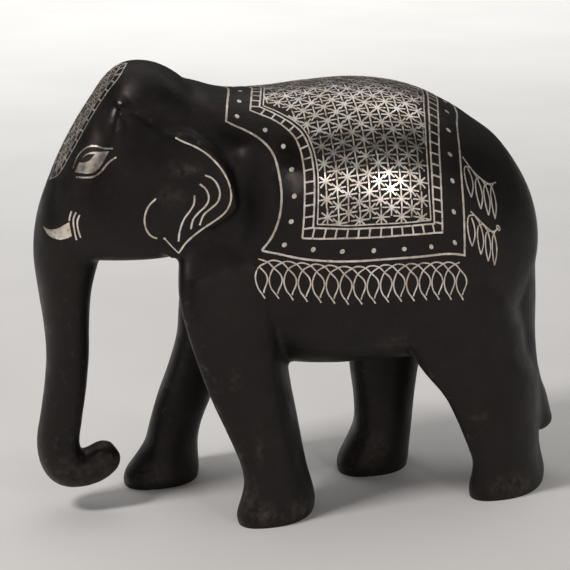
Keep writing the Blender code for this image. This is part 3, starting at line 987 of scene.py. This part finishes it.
def forehead_band(tree):
    silver = Inlay()
    front = View(tree, *BAND_VIEW)
    inside = inside_of(outline_of((BAND_INNER,), (-1, 1)))
    for side in (1, -1):
        silver.wire(front, BAND_EDGE, WIRE, side)
        silver.wire(front, BAND_INNER, WIRE, side)
        ladder(silver, front, BAND_EDGE, BAND_INNER, (0, 0), side)
    for column in BAND_STAR_COLUMNS:
        for row in range(BAND_STAR_ROWS):
            u = column * STAR_COLUMN_PITCH * BAND_STAR_SIZE
            v = BAND_STARS_FROM + (row + column % 2 / 2) * STAR_PITCH * BAND_STAR_SIZE
            if inside(u, v):
                silver.star(front, u, v, inside, BAND_STAR_SIZE)
    return silver


def eyes_and_tusks(tree):
    silver = Inlay()
    eye = View(tree, *EYE_VIEW)
    tusk = View(tree, *TUSK_VIEW)
    for side in (1, -1):
        silver.wire(eye, UPPER_LID, WIRE, side)
        silver.wire(eye, LOWER_LID, WIRE, side)
        silver.sheet(eye, EYE_TOP, EYE_BOTTOM, side)
        silver.sheet(tusk, TUSK_TOP, TUSK_BOTTOM, side)
        for line in TUSK_LINES:
            silver.wire(tusk, line, WIRE, side)
    return silver


def pupils(tree):
    alloy = Inlay()
    eye = View(tree, *EYE_VIEW)
    for side in (1, -1):
        alloy.sheet(eye, PUPIL_TOP, PUPIL_BOTTOM, side, height=PROUD + PUPIL_RISE)
    return alloy


def ear_lines(tree):
    silver = Inlay()
    ear_side = View(tree, *EAR_VIEW)
    for side in (1, -1):
        silver.wire(ear_side, EAR_RIM, WIRE, side)
        for vein in EAR_VEINS:
            silver.wire(ear_side, vein, WIRE, side)
        silver.wire(ear_side, CHEEK_LINE, WIRE, side)
        silver.dot(ear_side, *CHEEK_DOT, DOT / 2, side)
        silver.wire(ear_side, (CHEEK_DOT, CHEEK_TAIL, EAR_RIM[-1]), FINE_WIRE, side)
    return silver


def colour(hexadecimal):
    """An sRGB hex value as linear red, green, blue and alpha."""
    parts = [int(hexadecimal[i:i + 2], 16) / 255 for i in (0, 2, 4)]
    return tuple(c / 12.92 if c <= 0.04045 else ((c + 0.055) / 1.055) ** 2.4 for c in parts) + (1,)


def add(tree, kind, sockets=None, **settings):
    """A node with its settings, and each named socket set to a value or linked from another socket."""
    made = tree.nodes.new(kind)
    for name, value in settings.items():
        setattr(made, name, value)
    for name, value in (sockets or {}).items():
        if isinstance(value, bpy.types.NodeSocket):
            tree.links.new(value, made.inputs[name])
        else:
            made.inputs[name].default_value = value
    return made


def shader_tree(name):
    material = bpy.data.materials.new(name)
    material.use_nodes = True
    tree = material.node_tree
    shader = tree.nodes["Principled BSDF"]
    places = add(tree, "ShaderNodeTexCoord").outputs["Object"]
    return material, tree, shader, places


def patches(tree, places, size_mm, detail=3.0, low=0.4, high=0.6):
    """Cloudy patches of about this size, from 0 to 1."""
    cloud = {"Vector": places, "Scale": 1 / (size_mm * MM), "Detail": detail}
    noise = add(tree, "ShaderNodeTexNoise", cloud)
    spread_out = {"Value": noise.outputs["Fac"], "From Min": low, "From Max": high}
    return add(tree, "ShaderNodeMapRange", spread_out).outputs["Result"]


def layered(tree, ground, *layers):
    """The ground colour under further colours, each laid over the ones before by its share."""
    for share, over in layers:
        sockets = {MIX_SHARE: share, MIX_UNDER: ground, MIX_OVER: over}
        ground = add(tree, "ShaderNodeMix", sockets, data_type="RGBA").outputs[MIX_RESULT]
    return ground


def blackened_zinc_alloy():
    """Cast zinc and copper alloy, blackened with salted earth and oiled.

    The eye sees a deep, slightly brown black with a soft sheen and a fine cast grain, and grey metal
    where it is rubbed.
    """
    material, tree, shader, places = shader_tree("blackened_zinc_alloy")
    shader.inputs["IOR"].default_value = 1.38
    shader.inputs["Specular Tint"].default_value = colour("fff3ee")
    wear, scuffed_and_painted_highlight, polished, painted_shade_hollow = (
        add(tree, "ShaderNodeAttribute", attribute_name=mark).outputs["Fac"]
        for mark in ("wear", "scuffed_and_painted_highlight", "polished", "painted_shade_hollow")
    )
    rub_marks = patches(tree, places, size_mm=2.5, detail=4.0, low=0.58, high=0.85)
    rubbed = add(tree, "ShaderNodeMath", {0: wear, 1: rub_marks}, operation="MULTIPLY")
    scrapes = patches(tree, places, size_mm=1.8, detail=5.0, low=0.4, high=0.75)
    scraped = add(tree, "ShaderNodeMath", {0: scuffed_and_painted_highlight, 1: scrapes}, operation="MULTIPLY")
    patina = layered(
        tree,
        colour("0a0909"),
        (patches(tree, places, size_mm=16), colour("110e0d")),
        (patches(tree, places, size_mm=1.6, detail=2.0, low=0.55, high=0.8), colour("1c1715")),
        (rubbed.outputs[0], colour("5a5048")),
        # Grey scuffs, which on the near fore foot are also a painted highlight
        (scraped.outputs[0], colour("4a423c")),
        # Painted shade: the hollows are laid almost black
        (painted_shade_hollow, colour("040404")),
    )
    tree.links.new(patina, shader.inputs["Base Color"])
    reach = {"Value": patches(tree, places, size_mm=9), "To Min": 0.42, "To Max": 0.54}
    sheen = add(tree, "ShaderNodeMapRange", reach).outputs["Result"]
    matt = add(tree, "ShaderNodeMath", {0: painted_shade_hollow, 1: 0.4, 2: sheen}, operation="MULTIPLY_ADD")
    gloss = {0: polished, 1: -0.22, 2: matt.outputs[0]}
    smooth = add(tree, "ShaderNodeMath", gloss, operation="MULTIPLY_ADD")
    tree.links.new(smooth.outputs[0], shader.inputs["Roughness"])
    grain = add(tree, "ShaderNodeTexNoise", {"Vector": places, "Scale": 1 / (0.7 * MM), "Detail": 4.0})
    dents = add(tree, "ShaderNodeTexNoise", {"Vector": places, "Scale": 1 / (6 * MM), "Detail": 2.0})
    pitted = {"Height": grain.outputs["Fac"], "Strength": 0.25, "Distance": 0.05 * MM}
    fine = add(tree, "ShaderNodeBump", pitted).outputs["Normal"]
    uneven = {"Height": dents.outputs["Fac"], "Strength": 0.5, "Distance": 0.35 * MM, "Normal": fine}
    tree.links.new(add(tree, "ShaderNodeBump", uneven).outputs["Normal"], shader.inputs["Normal"])
    return material


def beaten_silver(name, least_roughness, most_roughness):
    """Fine silver with scraper marks, toned tan in places where it has tarnished."""
    material, tree, shader, places = shader_tree(name)
    tone = layered(
        tree,
        colour("f2ece4"),
        (patches(tree, places, size_mm=4, low=0.35, high=0.7), colour("cfc2b4")),
        (patches(tree, places, size_mm=0.8, low=0.55, high=0.75), colour("9c8c7e")),
    )
    tree.links.new(tone, shader.inputs["Base Color"])
    shader.inputs["Metallic"].default_value = 1.0
    reach = {
        "Value": patches(tree, places, size_mm=3), "To Min": least_roughness, "To Max": most_roughness
    }
    tree.links.new(add(tree, "ShaderNodeMapRange", reach).outputs["Result"], shader.inputs["Roughness"])
    marks = add(tree, "ShaderNodeTexNoise", {"Vector": places, "Scale": 1 / (0.5 * MM), "Detail": 3.0})
    scraped = {"Height": marks.outputs["Fac"], "Strength": 0.3, "Distance": 0.04 * MM}
    tree.links.new(add(tree, "ShaderNodeBump", scraped).outputs["Normal"], shader.inputs["Normal"])
    return material


def hammered_silver_sheet():
    """Silver sheet cut to shape, hammered in and polished. The eye sees a warm white metal that gleams."""
    return beaten_silver("hammered_silver_sheet", 0.24, 0.38)


def hammered_silver_wire():
    """Silver wire hammered into grooves and scraped level. The eye sees satin white lines, also in shade."""
    return beaten_silver("hammered_silver_wire", 0.42, 0.56)


def painted_floor():
    """A matt white painted board, which the eye sees as plain pale ground."""
    material, tree, shader, places = shader_tree("painted_floor")
    shade = layered(tree, colour("f2f1ef"), (patches(tree, places, size_mm=120), colour("eeedeb")))
    tree.links.new(shade, shader.inputs["Base Color"])
    shader.inputs["Roughness"].default_value = 0.8
    return material


def casting():
    """The whole figure as one fine skin, in mm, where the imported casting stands."""
    skin = fused(forms())
    work_surface(skin)
    bm = softened_and_cut(skin)
    on_the_frame(bm)
    return bm


def soft_light(name, place, looks_at, size, watts, tint, spread_degrees):
    lamp = bpy.data.lights.new(name, "AREA")
    lamp.shape = "RECTANGLE"
    lamp.size, lamp.size_y = size
    lamp.energy = watts
    lamp.color = colour(tint)[:3]
    lamp.spread = math.radians(spread_degrees)
    obj = bpy.data.objects.new(name, lamp)
    obj.location = place
    obj.rotation_euler = (Vector(looks_at) - Vector(place)).to_track_quat("-Z", "Y").to_euler()
    bpy.context.scene.collection.objects.link(obj)


def studio():
    """A pale floor under soft lights, and the camera where the photographer stood."""
    bm = bmesh.new()
    bmesh.ops.create_grid(bm, x_segments=8, y_segments=8, size=FLOOR_SIZE / 2)
    mesh = bpy.data.meshes.new("floor")
    bm.to_mesh(mesh)
    bm.free()
    mesh.materials.append(painted_floor())
    floor = bpy.data.objects.new("floor", mesh)
    bpy.context.scene.collection.objects.link(floor)

    bpy.context.scene.view_settings.view_transform = "Standard"
    world = bpy.data.worlds.new("pale room")
    world.use_nodes = True
    world.node_tree.nodes["Background"].inputs["Color"].default_value = colour("f4f2ef")
    world.node_tree.nodes["Background"].inputs["Strength"].default_value = WORLD_STRENGTH
    bpy.context.scene.world = world
    for lamp in LAMPS:
        soft_light(*lamp)

    back = towards(AZIMUTH, ELEVATION)
    lens = bpy.data.cameras.new("camera")
    lens.lens = LENS
    lens.sensor_width = 36
    lens.shift_x, lens.shift_y = SHIFT
    lens.clip_start = 0.01
    camera = bpy.data.objects.new("camera", lens)
    camera.location = (TARGET + back * DISTANCE) * MM
    camera.rotation_euler = (-back).to_track_quat("-Z", "Y").to_euler()
    bpy.context.scene.collection.objects.link(camera)
    bpy.context.scene.camera = camera


def main():
    bm = casting()
    tree = BVHTree.FromBMesh(bm)
    marks = {
        "wear": wear_of(bm),
        # Painted shade in the hollows, which are also made matter
        "painted_shade_hollow": np.maximum(nearness(bm, PAINTED_SHADE_HOLLOWS, RIGHT_SIDE), nearness(bm, PAINTED_SHADE_HOLLOWS, LEFT_SIDE)),
        "polished": nearness(bm, POLISHED, BOTH_SIDES),
        "scuffed_and_painted_highlight": nearness(bm, SCUFFS_AND_PAINTED_HIGHLIGHT, NEAR_SIDE),
    }
    alloy = blackened_zinc_alloy()
    sheet, wire = hammered_silver_sheet(), hammered_silver_wire()
    body = piece("casting", bm, alloy)
    for mark, values in marks.items():
        body.data.attributes.new(mark, "FLOAT", "POINT").data.foreach_set("value", values)
    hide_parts("elephant_casting")
    girth = Girth(tree)
    inlays = (
        ("cloth_borders", wire, cloth_borders(girth)),
        ("star_field", sheet, star_field(girth)),
        ("fringe", wire, fringe(girth)),
        ("tassels", wire, tassels(girth)),
        ("forehead_band", wire, forehead_band(tree)),
        ("eyes_and_tusks", sheet, eyes_and_tusks(tree)),
        ("ear_lines", wire, ear_lines(tree)),
    )
    for name, metal, laid in inlays:
        piece(name, laid.cut_in(tree), metal)
    piece("pupils", pupils(tree).cut_in(tree), alloy)
    studio()


main()
